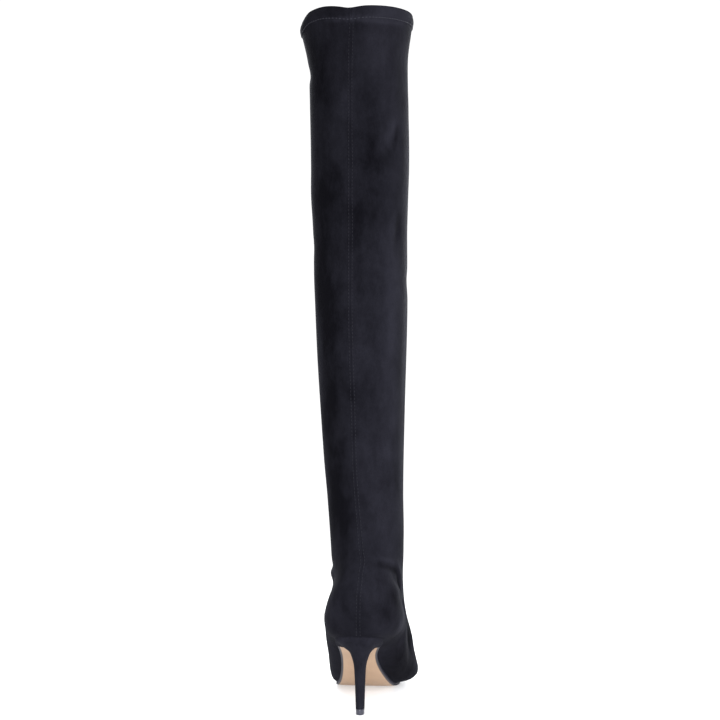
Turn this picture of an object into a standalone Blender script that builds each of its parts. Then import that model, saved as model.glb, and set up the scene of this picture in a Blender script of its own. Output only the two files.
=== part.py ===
"""Thigh high boot for the left foot: stretch shaft, foot upper, leather sole and a slim covered heel.

Metres, +Z up. The origin is the middle of the top piece's underside, on the floor. The toe points along +Y
and +X is the inner side of the foot. Every closed section runs from the back seam, round the inner side to
the toe or shin, and back along the outer side.
"""
import math

import bmesh
import bpy
import numpy as np

COLLECTION = "thigh_high_boot"

# Lengths along the foot
SOLE_LENGTH = 0.231
TIP_SETBACK = 0.0195       # from the back of the seat to the middle of the heel's tip
BREAST = 0.0475            # from the back of the seat to the heel's front face
TREAD_WIDTH = 0.0688
BALL_WIDTH = 0.0958        # across the upper at its fullest

# Heights
HEEL_HEIGHT = 0.0775       # floor to the sole's underside at the back of the seat
TOE_SPRING = 0.0062
BOOT_HEIGHT = 0.7045       # floor to the collar at its middle
ANKLE_RISE = 0.0925        # from the heel's height up to the first level section of the shaft

# The shaft's girth
COLLAR_WIDTH = 0.1126
COLLAR_DEPTH = 0.128
HEM_DEPTH = 0.0132

# Walls and layers
UPPER_WALL = 0.0020
SHAFT_WALL = 0.0017
HEM_STEP = 0.0007
SEAM_WIDTH = 0.0046
SEAM_STEP = 0.0005
STEP_RUN = 0.0004          # the slope at the side of a raised step
OUTSOLE_THICKNESS = 0.0036
EDGE_LIFT = 0.0010         # how far the tread's edge stands off the floor
TREAD_MARGIN = 0.0040
INSOLE_THICKNESS = 0.0024
FEATHER_INSET = 0.0004     # the upper's foot stands this far inside the sole's edge
CLEARANCE = 0.0003

# The heel
TIP_WIDTH = 0.0091
TIP_DEPTH = 0.0100
TIP_ARC = math.radians(125)   # how far the tip's round back goes to each side
TOP_PIECE_THICKNESS = 0.0060
TOP_PIECE_BEVEL = 0.0005

# Fades and mesh counts
NUDGE = 0.05               # of a station, for the direction of an outline
COLLAR_FADE = 8            # how fast the rim's rise and fall fades down the shaft
SEAT_SLOPE_FADE = 4        # how fast the seat's slope fades down the heel
SPAN_STEPS = 2             # columns between two stations of the sole
FOOT_LOOPS = 15
SHAFT_LOOPS = 21
HEEL_ROWS = 13
BREAST_STEPS = 4
EDGE_ANGLE = math.radians(40)   # a sharper fold than this is an edge

# The sole's edge, one row a station from the back of the seat to the toe: how far along the sole's length it
# is, how far out the inner and the outer edge stand as shares of the tread's width, and the underside's
# height as a share of the heel's height and of the toe spring.
SOLE = (
    # along, inner, outer, heel, spring
    (0.000, -0.022, -0.022, 1.000, 0.00),
    (0.016, 0.164, -0.208, 0.990, 0.00),
    (0.060, 0.286, -0.336, 0.958, 0.00),
    (0.135, 0.327, -0.387, 0.895, 0.00),
    (0.222, 0.251, -0.377, 0.790, 0.00),
    (0.310, 0.182, -0.365, 0.636, 0.00),
    (0.396, 0.189, -0.383, 0.455, 0.00),
    (0.483, 0.250, -0.422, 0.275, 0.00),
    (0.565, 0.318, -0.479, 0.126, 0.00),
    (0.640, 0.370, -0.545, 0.034, 0.00),
    (0.716, 0.411, -0.579, 0.000, 0.00),
    (0.794, 0.421, -0.535, 0.000, 0.00),
    (0.872, 0.360, -0.401, 0.000, 0.16),
    (0.936, 0.259, -0.227, 0.000, 0.52),
    (0.981, 0.145, -0.078, 0.000, 0.86),
    (1.000, 0.036, 0.036, 0.000, 1.00),
)

# The upper at its fullest, at the same stations: how far it stands past the sole's edge on each side, as shares
# of what the ball's width adds to the tread's, and how far above its foot, as a share of the ball's width.
SWELL = (
    # inner, outer, rise
    (0.195, 0.195, 0.215),
    (0.284, 0.220, 0.222),
    (0.497, 0.319, 0.232),
    (0.727, 0.412, 0.245),
    (0.965, 0.522, 0.262),
    (1.128, 0.610, 0.290),
    (1.107, 0.614, 0.310),
    (0.958, 0.532, 0.300),
    (0.780, 0.426, 0.265),
    (0.785, 0.291, 0.212),
    (0.800, 0.192, 0.172),
    (0.660, 0.149, 0.145),
    (0.397, 0.128, 0.118),
    (0.185, 0.106, 0.096),
    (0.092, 0.085, 0.076),
    (0.071, 0.071, 0.066),
)
TURN_OUT_SHARE = 0.76      # of the swell, at the turn between the upper's foot and its fullest line
TURN_UP_SHARE = 0.30       # of the rise, at the same turn

# Sections over the instep, between the fullest line and the ankle. Back and front are shares of the sole's
# length from the back of the seat, the two heights are shares of the ankle's height, the widths are shares of
# the fullest line's, and round goes from the foot's outline at 0 to the shaft's oval at 1.
INSTEP = (
    # back, back_height, front, front_height, inner, outer, round
    (-0.025, 0.650, 0.984, 0.138, 0.985, 0.970, 0.06),
    (-0.020, 0.715, 0.884, 0.214, 0.965, 0.912, 0.18),
    (-0.010, 0.780, 0.760, 0.318, 0.955, 0.838, 0.36),
    (0.006, 0.843, 0.640, 0.460, 0.868, 0.770, 0.58),
    (0.025, 0.915, 0.545, 0.640, 0.824, 0.735, 0.82),
)
JOIN = 7                   # the section where the shaft meets the upper, counted from the featherline

# The collar's rim: how far round the boot, and how far it stands above its middle height as a share of the hem.
COLLAR = (
    # round, lift
    (0.000, -0.11),
    (0.040, 0.05),
    (0.100, 0.17),
    (0.180, 0.25),
    (0.250, 0.28),
    (0.350, 0.20),
    (0.500, 0.05),
    (0.650, -0.15),
    (0.780, -0.48),
    (0.822, -0.32),
    (0.858, 0.00),
    (0.890, 0.11),
    (0.925, 0.15),
    (0.970, 0.03),
)

# Level sections of the shaft: how far up it stands between ankle and collar, half its width and half its
# depth, how far its middle lies to the inner side and ahead of the tip, and how far the back seam wanders to
# the outer side, as shares of the collar's width, or of its depth for depth and ahead.
SHAFT = (
    # rise, width, depth, inner, ahead, seam
    (0.000, 0.333, 0.362, 0.034, 0.293, 0.040),
    (0.065, 0.343, 0.357, 0.024, 0.282, 0.036),
    (0.135, 0.360, 0.368, 0.011, 0.281, 0.032),
    (0.210, 0.377, 0.398, 0.003, 0.287, 0.030),
    (0.285, 0.393, 0.428, -0.004, 0.295, 0.033),
    (0.360, 0.409, 0.447, -0.009, 0.305, 0.040),
    (0.435, 0.421, 0.452, -0.013, 0.316, 0.050),
    (0.510, 0.429, 0.448, -0.020, 0.326, 0.052),
    (0.582, 0.430, 0.446, -0.025, 0.335, 0.050),
    (0.655, 0.445, 0.452, -0.033, 0.340, 0.046),
    (0.730, 0.450, 0.460, -0.030, 0.343, 0.040),
    (0.805, 0.450, 0.466, -0.038, 0.345, 0.034),
    (0.870, 0.448, 0.470, -0.048, 0.347, 0.030),
    (0.925, 0.458, 0.476, -0.056, 0.349, 0.028),
    (0.962, 0.488, 0.494, -0.062, 0.351, 0.026),
    (0.986, 0.504, 0.504, -0.067, 0.352, 0.022),
    (1.000, 0.497, 0.498, -0.064, 0.352, 0.020),
)

# The heel from its seat down to the top piece: how far down it is, and how much of the way from the tip's
# outline out to the seat's it stands at the side, at the back and at the breast.
HEEL = (
    # drop, side, back, breast
    (0.000, 1.000, 1.000, 1.000),
    (0.024, 0.782, 0.966, 0.915),
    (0.065, 0.565, 0.899, 0.757),
    (0.114, 0.385, 0.785, 0.561),
    (0.168, 0.245, 0.630, 0.379),
    (0.228, 0.165, 0.462, 0.250),
    (0.304, 0.115, 0.300, 0.160),
    (0.412, 0.080, 0.173, 0.100),
    (0.564, 0.050, 0.083, 0.052),
    (0.759, 0.022, 0.032, 0.021),
)

STATION_STEPS = len(SOLE) - 1
ROUND_STEPS = 2 * STATION_STEPS   # from station to station once round the shoe
COLUMNS = np.arange(0, ROUND_STEPS * SPAN_STEPS) / SPAN_STEPS
SEAT_BACK = -TIP_SETBACK
BREAST_Y = SEAT_BACK + BREAST
ANKLE_HEIGHT = HEEL_HEIGHT + ANKLE_RISE


def through(knots, rows, places):
    """Points on a smooth curve through rows, read at places along the knots."""
    knots, rows = np.asarray(knots, float), np.asarray(rows, float)
    spans = np.diff(knots)
    chords = np.diff(rows, axis=0) / spans.reshape((-1,) + (1,) * (rows.ndim - 1))
    slopes = np.empty_like(rows)
    slopes[0], slopes[-1] = chords[0], chords[-1]
    for row in range(1, len(rows) - 1):
        before, after = spans[row - 1], spans[row]
        slopes[row] = (chords[row - 1] * after + chords[row] * before) / (before + after)
    points = []
    for place in places:
        row = int(np.clip(np.searchsorted(knots, place, side="right") - 1, 0, len(spans) - 1))
        share = (place - knots[row]) / spans[row]
        start = (1 + 2 * share) * (1 - share) ** 2
        start_slope = share * (1 - share) ** 2 * spans[row]
        end = share ** 2 * (3 - 2 * share)
        end_slope = share ** 2 * (share - 1) * spans[row]
        points.append(start * rows[row] + start_slope * slopes[row] + end * rows[row + 1]
                      + end_slope * slopes[row + 1])
    return np.array(points)


def round_the_shoe(inner, outer, turns):
    """A closed smooth curve: inner stations from back to toe, then the outer ones back, read at turns."""
    ring = np.concatenate([inner, outer[-2:0:-1]])
    lead = 2
    knots = np.arange(-lead, len(ring) + lead + 1)
    return through(knots, ring[knots % len(ring)], np.asarray(turns) % ROUND_STEPS)


def underside(y):
    """The sole's underside at a distance ahead of the tip."""
    along = [row[0] for row in SOLE]
    heights = [HEEL_HEIGHT * row[3] + TOE_SPRING * row[4] for row in SOLE]
    shares = np.clip((np.atleast_1d(y) - SEAT_BACK) / SOLE_LENGTH, 0.0, 1.0)
    return np.maximum(through(along, heights, shares), 0.0)


def both_sides(inner, outer, turns):
    """One number for each station of both sides, read smoothly at turns."""
    return round_the_shoe(np.array(inner)[:, None], np.array(outer)[:, None], turns)[:, 0]


def sole_edge(turns):
    """The sole's edge seen from above, as points (x, y)."""
    inner = np.array([(row[1] * TREAD_WIDTH, SEAT_BACK + row[0] * SOLE_LENGTH) for row in SOLE])
    outer = np.array([(row[2] * TREAD_WIDTH, SEAT_BACK + row[0] * SOLE_LENGTH) for row in SOLE])
    return round_the_shoe(inner, outer, turns)


def beside_the_sole(turns, reach):
    """The sole's edge moved outwards by reach, square to itself; a negative reach moves it in."""
    turns = np.asarray(turns, float)
    ahead = sole_edge(turns + NUDGE) - sole_edge(turns - NUDGE)
    outward = np.stack([ahead[:, 1], -ahead[:, 0]], axis=1)
    outward /= np.linalg.norm(outward, axis=1, keepdims=True)
    return sole_edge(turns) + outward * np.reshape(reach, (-1, 1))


def raised(outline, height):
    """An outline (x, y) laid height above the sole's underside."""
    return np.column_stack([outline, underside(outline[:, 1]) + height])


def featherline(turns):
    """Where the upper's wall stands on the sole."""
    return raised(beside_the_sole(turns, -FEATHER_INSET), OUTSOLE_THICKNESS + CLEARANCE)


def swollen(turns, reach_share, rise_share):
    """The upper's wall between its foot and its fullest line."""
    reach = both_sides([row[0] for row in SWELL], [row[1] for row in SWELL], turns)
    rise = both_sides([row[2] for row in SWELL], [row[2] for row in SWELL], turns)
    outline = beside_the_sole(turns, reach_share * reach * (BALL_WIDTH - TREAD_WIDTH) - FEATHER_INSET)
    foot = underside(sole_edge(turns)[:, 1]) + OUTSOLE_THICKNESS + CLEARANCE
    return np.column_stack([outline, foot + rise_share * rise * BALL_WIDTH])


def fullest_line(turns):
    """The line round the foot where the upper stands out furthest."""
    return swollen(turns, 1.0, 1.0)


def instep_section(row, turns):
    """A section over the instep: the fullest line drawn back from the toe and rounded towards the shaft."""
    back, back_height, front, front_height, inner, outer, roundness = row
    full = fullest_line(turns)
    whole = fullest_line(np.arange(ROUND_STEPS))
    y_low, y_high = whole[:, 1].min(), whole[:, 1].max()
    z_low, z_high = whole[0, 2], whole[STATION_STEPS, 2]
    angle = 2 * math.pi * np.asarray(turns) / ROUND_STEPS
    level = (1 - np.cos(angle)) / 2
    along = (1 - roundness) * (full[:, 1] - y_low) / (y_high - y_low) + roundness * level
    climb = (1 - roundness) * (full[:, 2] - z_high) / (z_low - z_high) + roundness * (1 - level)
    middle = (whole[:, 0].max() * inner + whole[:, 0].min() * outer) / 2
    half = (whole[:, 0].max() * inner - whole[:, 0].min() * outer) / 2
    foot_x = np.where(full[:, 0] > 0, full[:, 0] * inner, full[:, 0] * outer)
    y = SEAT_BACK + SOLE_LENGTH * (back + (front - back) * along)
    x = (1 - roundness) * foot_x + roundness * (middle + half * np.sin(angle))
    z = ANKLE_HEIGHT * (front_height + (back_height - front_height) * climb)
    return np.column_stack([x, y, z])


def collar_lift(turns):
    """The rim's rise and fall round the boot, as shares of the hem."""
    places = [row[0] for row in COLLAR]
    lifts = [row[1] for row in COLLAR]
    knots = [places[-1] - 1] + places + [place + 1 for place in places[:2]]
    rows = [lifts[-1]] + lifts + lifts[:2]
    return through(knots, rows, np.asarray(turns) % ROUND_STEPS / ROUND_STEPS)


def shaft_section(row, turns):
    """A level oval of the shaft, with the back seam drawn to the outer side."""
    rise, width, depth, inner, ahead, seam = row
    full_turn = 2 * math.pi * np.asarray(turns) / ROUND_STEPS
    angle = full_turn - seam / width * (1 + np.cos(full_turn)) / 2
    x = COLLAR_WIDTH * (inner + width * np.sin(angle))
    y = COLLAR_DEPTH * (ahead - depth * np.cos(angle))
    lift = HEM_DEPTH * collar_lift(turns) * rise ** COLLAR_FADE
    return np.column_stack([x, y, ANKLE_HEIGHT + rise * (BOOT_HEIGHT - ANKLE_HEIGHT) + lift])


def sections(turns):
    """Every section of the leg and foot, from the featherline up."""
    rows = [featherline(turns), swollen(turns, TURN_OUT_SHARE, TURN_UP_SHARE), fullest_line(turns)]
    rows += [instep_section(row, turns) for row in INSTEP]
    rows += [shaft_section(row, turns) for row in SHAFT]
    return np.array(rows)


def heights_up(rows):
    """How far each section lies up the boot, by the mean distance between neighbours."""
    gaps = np.linalg.norm(np.diff(rows, axis=0), axis=2).mean(axis=1)
    return np.concatenate([[0.0], np.cumsum(gaps)])


def skin(knots, places, seam_offsets):
    """The boot's outer surface at places up the knots, a row of points each, with columns for the seam."""
    rows = sections(COLUMNS)
    speed = np.linalg.norm(rows[:, 1] - rows[:, -1], axis=1) * SPAN_STEPS / 2
    speeds = through(knots, speed, places)
    body = through(knots, rows, places)
    grid = []
    for place, pace, loop in zip(places, speeds, body):
        near = np.array(seam_offsets) / pace
        seam = through(knots, sections(near), [place])[0]
        grid.append(np.concatenate([seam[2:], loop[1:], seam[:2]]))
    return np.array(grid)


def outward(grid):
    """Unit normals of a tube given as rows of points."""
    around = np.roll(grid, -1, axis=1) - np.roll(grid, 1, axis=1)
    up = np.gradient(grid, axis=0)
    normals = np.cross(around, up)
    return normals / np.linalg.norm(normals, axis=2, keepdims=True)


def tube_faces(first_loop, second_loop):
    """Quads between two closed loops of point numbers, facing out when the second lies above."""
    count = len(first_loop)
    return [(first_loop[i], first_loop[(i + 1) % count], second_loop[(i + 1) % count], second_loop[i])
            for i in range(count)]


def numbered(loops):
    """All points of the loops in one list, and each loop as point numbers."""
    numbers, start = [], 0
    for loop in loops:
        numbers.append(list(range(start, start + len(loop))))
        start += len(loop)
    return np.concatenate(loops), numbers


def solid(name, points, faces, finish):
    """A closed mesh object in the boot's collection, smooth but for its edges."""
    mesh = bpy.data.meshes.new(name)
    mesh.from_pydata([tuple(p) for p in points], [], faces)
    mesh.validate()
    mesh.shade_smooth()
    mesh.set_sharp_from_angle(angle=EDGE_ANGLE)
    mesh.materials.append(finish)
    made = bpy.data.objects.new(name, mesh)
    bpy.data.collections[COLLECTION].objects.link(made)
    return made


def material(name, colour, roughness):
    """A plain matt or glossy material without metal."""
    made = bpy.data.materials.new(name)
    made.use_nodes = True
    shader = made.node_tree.nodes["Principled BSDF"]
    shader.inputs["Base Color"].default_value = (*colour, 1.0)
    shader.inputs["Roughness"].default_value = roughness
    shader.inputs["Metallic"].default_value = 0.0
    return made


def tube(name, places, knots, wall, stepped_from, finish):
    """A hollow tube between two places up the boot, with the back seam and any hem raised on its outside."""
    half_seam = SEAM_WIDTH / 2
    foot = half_seam + STEP_RUN
    base = skin(knots, places, (-foot, -half_seam, 0.0, half_seam, foot))
    normals = outward(base)
    lift = np.zeros(base.shape[:2])
    lift[:, :2] += SEAM_STEP
    lift[:, -1] += SEAM_STEP
    for row, place in enumerate(places):
        if place > stepped_from:
            lift[row] += HEM_STEP
    outer = base + normals * lift[:, :, None]
    inner = base - normals * wall
    inner[0, :, 2], inner[-1, :, 2] = base[0, :, 2], base[-1, :, 2]
    outer[0, :, 2], outer[-1, :, 2] = base[0, :, 2], base[-1, :, 2]
    points, loops = numbered(list(outer) + list(inner[::-1]))
    faces = []
    for here, there in zip(loops, loops[1:] + loops[:1]):
        faces += tube_faces(here, there)
    return solid(name, points, faces, finish)


def make_upper_and_shaft(suede):
    knots = heights_up(sections(COLUMNS))
    join, top = knots[JOIN], knots[-1]
    half_gap = CLEARANCE / 2
    foot_places = np.linspace(0.0, join - half_gap, FOOT_LOOPS)
    hem = top - HEM_DEPTH
    shaft_places = list(np.linspace(join + half_gap, hem, SHAFT_LOOPS))
    shaft_places += [hem + STEP_RUN, (hem + top) / 2, top]
    tube("upper", foot_places, knots, UPPER_WALL, top, suede)
    tube("shaft", shaft_places, knots, SHAFT_WALL, hem + STEP_RUN / 2, suede)


def slab(name, top, sides, finish):
    """A closed slab once round the shoe: a top loop, the loops below it, and both faces closed across."""
    points, numbers = numbered([top] + sides)
    count = len(top)
    faces = []
    for above, below in zip(numbers, numbers[1:]):
        faces += tube_faces(below, above)
    for ring, facing_up in ((numbers[0], True), (numbers[-1], False)):
        for step in range(count // 2):
            face = [ring[step], ring[step + 1], ring[-(step + 1) % count], ring[-step % count]]
            face = [v for i, v in enumerate(face) if v not in face[:i]]
            faces.append(tuple(face if facing_up else face[::-1]))
    return solid(name, points, faces, finish)


def cut_off_behind(made, y):
    """The piece cut square across the foot at y, closed there, with what lies behind taken off."""
    cage = bmesh.new()
    cage.from_mesh(made.data)
    everything = cage.verts[:] + cage.edges[:] + cage.faces[:]
    cut = bmesh.ops.bisect_plane(cage, geom=everything, plane_co=(0.0, y, 0.0), plane_no=(0.0, 1.0, 0.0),
                                 clear_inner=True)
    rim = [item for item in cut["geom_cut"] if isinstance(item, bmesh.types.BMEdge)]
    bmesh.ops.edgeloop_fill(cage, edges=rim)
    bmesh.ops.recalc_face_normals(cage, faces=cage.faces)
    cage.to_mesh(made.data)
    cage.free()


def make_outsole(leather):
    edge = sole_edge(COLUMNS)
    tread = raised(beside_the_sole(COLUMNS, -TREAD_MARGIN), 0.0)
    made = slab("outsole", raised(edge, OUTSOLE_THICKNESS), [raised(edge, EDGE_LIFT), tread], leather)
    cut_off_behind(made, BREAST_Y + CLEARANCE)


def make_insole(lining):
    outline = beside_the_sole(COLUMNS, -(FEATHER_INSET + UPPER_WALL + CLEARANCE))
    bottom = OUTSOLE_THICKNESS + CLEARANCE
    slab("insole", raised(outline, bottom + INSOLE_THICKNESS), [raised(outline, bottom)], lining)


def seat_outline():
    """The seat's edge from the breast's outer corner, round the back, to its inner corner."""
    stations = np.arange(0.0, STATION_STEPS / 2, NUDGE)
    corner = np.interp(BREAST_Y, sole_edge(stations)[:, 1], stations)
    return sole_edge(np.linspace(-corner, corner, HEEL_ROWS))


def tip_outline():
    """The tip's round back and flat front, with the same points as the seat's edge."""
    angle = np.linspace(-TIP_ARC, TIP_ARC, HEEL_ROWS)
    x = TIP_WIDTH / 2 * np.sin(angle)
    y = TIP_DEPTH * (1 - np.cos(angle)) / (1 - math.cos(TIP_ARC)) - TIP_DEPTH / 2
    return np.column_stack([x, y])


def breast_points(back):
    """The points between the two corners of a heel section, from the inner to the outer one."""
    shares = np.linspace(0.0, 1.0, BREAST_STEPS + 1)[1:-1]
    return np.array([back[-1] + (back[0] - back[-1]) * share for share in shares])


def heel_loop(seat, tip, row):
    """One section of the heel between its seat and its tip."""
    drop, side, back, breast = row
    round_to_breast = np.abs(np.linspace(-1.0, 1.0, HEEL_ROWS))
    reach = back + (breast - back) * round_to_breast
    loop = tip + (seat - tip) * np.column_stack([np.full(HEEL_ROWS, side), reach])
    loop = np.concatenate([loop, breast_points(loop)])
    slope = (underside(loop[:, 1]) - HEEL_HEIGHT) * (1 - drop) ** SEAT_SLOPE_FADE
    return np.column_stack([loop, HEEL_HEIGHT + slope - drop * (HEEL_HEIGHT - TOP_PIECE_THICKNESS)])


def closed_across(ring, facing_up):
    """Faces over a heel section: strips across its round back, and one at the breast."""
    arc = ring[:HEEL_ROWS]
    middle = HEEL_ROWS // 2
    faces = [(arc[middle], arc[middle + 1], arc[middle - 1])]
    for step in range(1, middle - 1):
        faces.append((arc[middle + step], arc[middle + step + 1], arc[middle - step - 1], arc[middle - step]))
    faces.append((arc[-2], arc[-1], *ring[HEEL_ROWS:], arc[0], arc[1]))
    return faces if facing_up else [face[::-1] for face in faces]


def make_heel(suede):
    seat, tip = seat_outline(), tip_outline()
    top = np.concatenate([seat, breast_points(seat)])
    loops = [raised(top, OUTSOLE_THICKNESS)]
    loops += [heel_loop(seat, tip, row) for row in HEEL]
    foot = np.concatenate([tip, breast_points(tip)])
    loops.append(np.column_stack([foot, np.full(len(foot), TOP_PIECE_THICKNESS)]))
    points, numbers = numbered(loops)
    faces = closed_across(numbers[0], facing_up=True) + closed_across(numbers[-1], facing_up=False)
    for above, below in zip(numbers, numbers[1:]):
        faces += tube_faces(below, above)
    return solid("heel", points, faces, suede)


def make_top_piece(rubber):
    tip = tip_outline()
    foot = np.concatenate([tip, breast_points(tip)])
    inner = foot * (1 - 2 * TOP_PIECE_BEVEL / TIP_WIDTH)
    top = TOP_PIECE_THICKNESS - CLEARANCE
    levels = ((foot, top), (foot, TOP_PIECE_BEVEL), (inner, 0.0))
    loops = [np.column_stack([outline, np.full(len(foot), level)]) for outline, level in levels]
    points, numbers = numbered(loops)
    faces = []
    for above, below in zip(numbers, numbers[1:]):
        faces += tube_faces(below, above)
    faces.append(tuple(numbers[0]))
    faces.append(tuple(numbers[-1][::-1]))
    return solid("top_piece", points, faces, rubber)


def main():
    for made in list(bpy.data.objects):
        bpy.data.objects.remove(made)
    bpy.context.scene.collection.children.link(bpy.data.collections.new(COLLECTION))
    suede = material("black_suede", (0.016, 0.015, 0.020), 0.95)
    leather = material("natural_sole_leather", (0.57, 0.40, 0.28), 0.55)
    lining = material("black_lining", (0.02, 0.02, 0.02), 0.8)
    rubber = material("black_top_piece", (0.03, 0.03, 0.035), 0.4)
    make_upper_and_shaft(suede)
    make_outsole(leather)
    make_insole(lining)
    make_heel(suede)
    make_top_piece(rubber)


main()
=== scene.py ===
"""Thigh high boot for the left foot: its suede, lining, stitching, sole and heel, and the studio round it.

Metres, +Z up. The toe points along +Y and +X is the inner side of the foot. On the wall, a place is given by
its climb, which is the distance up from the sole, and its round, which is the distance from the back seam
towards the inner side.
"""
import math

import bmesh
import bpy
import numpy as np
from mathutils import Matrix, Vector
from mathutils.kdtree import KDTree


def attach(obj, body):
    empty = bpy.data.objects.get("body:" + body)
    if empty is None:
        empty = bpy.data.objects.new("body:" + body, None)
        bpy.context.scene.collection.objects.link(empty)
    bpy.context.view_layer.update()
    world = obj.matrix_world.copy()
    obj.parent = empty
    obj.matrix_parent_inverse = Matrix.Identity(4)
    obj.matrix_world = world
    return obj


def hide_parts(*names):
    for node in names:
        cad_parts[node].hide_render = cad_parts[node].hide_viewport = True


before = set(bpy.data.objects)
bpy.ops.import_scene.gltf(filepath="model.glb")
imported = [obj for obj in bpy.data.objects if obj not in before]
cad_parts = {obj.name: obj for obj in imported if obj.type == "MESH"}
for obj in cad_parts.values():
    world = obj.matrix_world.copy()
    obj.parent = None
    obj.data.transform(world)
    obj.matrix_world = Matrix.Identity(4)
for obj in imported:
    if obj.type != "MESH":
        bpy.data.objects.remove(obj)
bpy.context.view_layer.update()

bl_info = {
    "name": "Thigh high boot",
    "version": (1, 0, 0),
    "blender": (4, 5, 0),
    "location": "3D Viewport > Sidebar > Boot",
    "description": "Makes a stretch suede thigh high boot piece by piece round its solid model",
    "category": "Object",
}

MERGE = 1e-5               # points nearer than this are one
FULL_TURN = 360.0

# How the wall is found in the solid model, in metres.
LEVEL = 2e-6               # ends of a level edge differ by less than this in height
RIM_BAND = 0.06            # the rim's edges lie within this of a tube's top
ACROSS = 0.35              # an edge through the wall points outwards at least this much
FOOT_ROWS = slice(2, -2)   # rows of the foot's wall away from its ends
LEG_ROWS = slice(2, -4)    # rows of the leg's wall away from its join and its hem
PLAIN_COLUMNS = slice(10, -10)   # columns of a wall away from its seam
RAISED = 1.1               # a raised step is more than this many times as thick as the plain wall
NEAR = 0.0008              # how far to each side a normal is measured
BESIDE = 0.002             # how far to each side of the seam the stretch is measured
HEIGHTS_TRIED = 400        # places that are tried when a height is looked up

# How the pieces are divided and laid.
LINE_POINTS = 12           # points along a fold or streak
FAINT_END = 0.35           # share of its strength that a fold or streak has at its ends
SEAM_COLUMNS = 33          # columns of the skin over the seam
HEM_ROWS = 22              # rows of the skin up the hem
TURN_ROWS = 9              # rows over the rim
INSIDE_ROWS = 7            # rows down the hem's inner side
LINING_ROWS = 110
LINING_COLUMNS = 97
LINING_START = 0.004       # from the sole up to the lining's lower edge
LINING_LAP = 0.004         # the lining runs up behind the hem's inner edge this far
LINING_LIFT = 0.0003       # the lining stands this far off the solid wall's inner side
JOIN_BLEND = 0.02          # the wall's thickness changes over this much to each side of the join
FIRST_STITCH = 0.004       # from the sole up to the seam's first stitch
LAST_STITCH = 0.002        # from the hem down to the seam's last stitch
CLIMBS_TRIED = 600         # places between which the seam's stitches are spread
STITCH_REACH = 0.001       # how far before and after it a stitch takes its direction from
STITCH_LIFT = 0.15         # a stitch's middle stands this share of its thickness off the suede
BEAD_FLAT = 0.8            # a stitch's height as a share of its width
BEAD_BLUNT = 0.7           # below 1, a stitch's ends are blunter than a sphere's
FINER = 2                  # how often a solid's skin is divided
SOLE_FOLD = math.radians(30)   # a sharper fold than this is an edge of the sole
SOCK_FOLD = math.radians(40)   # and of the sock
HEEL_FOLD = math.radians(50)   # and of the heel or its top piece
SIDE_FACE = 0.5            # on the sole's side a face's normal is less upright than this
BREAST_FACE = -0.98        # the sole's end at the heel faces backwards more than this, and isn't painted

# Where the heel's cover is fuller than the solid heel, in metres.
SEAT_EDGE = 0.0707         # height of the seat's edge over the heel's tip
SEAT_SLOPE = -0.28         # its rise for each metre towards the toe
SEAT_BLEND = 0.0012        # the corners' fullness begins this far above the seat's edge
CORNER_FADE = (0.004, 0.020)   # and fades out between these, below the edge
CORNER = (0.0125, 0.006)   # how far aside from the heel's middle it is greatest, and its width
FLANK = (0.011, 0.007)     # how far below the edge the sides stand out most, and over what width

# The suede's nap, and the light and shade painted on it.
NAP_AND_LIGHT_GAIN = 0.28            # what a streak of tone 1 adds to the noise
NAP_AND_LIGHT_RANGE = (0.24, 0.84)   # from hollows and painted shade to brushed up nap and painted highlights
NAP_MOTTLING = 0.72
FIBRE_SHADES = (0.7, 1.2)  # of a fibre's root and its tip
HEEL_SHADE = 1.35          # the heel's suede is paler than the leg's
HEM_THREAD_SHADE = 2.2           # and the hem's thread than the seam's

# The studio.
LAMP_TINT = (0.94, 0.96, 1.0)
FLOOR_GREY = 0.62
FLOOR_GLOW = 0.42
ROOM_GLOW = 1.08
LAMPS = (
    # name, place, aim, size, watts, spread in degrees
    ("key", (1.10, -0.80, 1.05), (0.0, 0.0, 0.36), 0.6, 3.0, 75),
    ("rim", (0.90, 1.00, 0.60), (0.0, 0.02, 0.40), 0.5, 1.5, 60),
    ("front_left", (-0.70, 1.45, 0.90), (0.0, 0.05, 0.34), 0.7, 5.0, 70),
    ("front", (0.45, 1.60, 0.80), (0.0, 0.05, 0.34), 0.7, 5.0, 70),
    ("back_key", (0.15, -1.50, 0.40), (0.0, 0.0, 0.16), 0.6, 3.5, 60),
)

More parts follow.
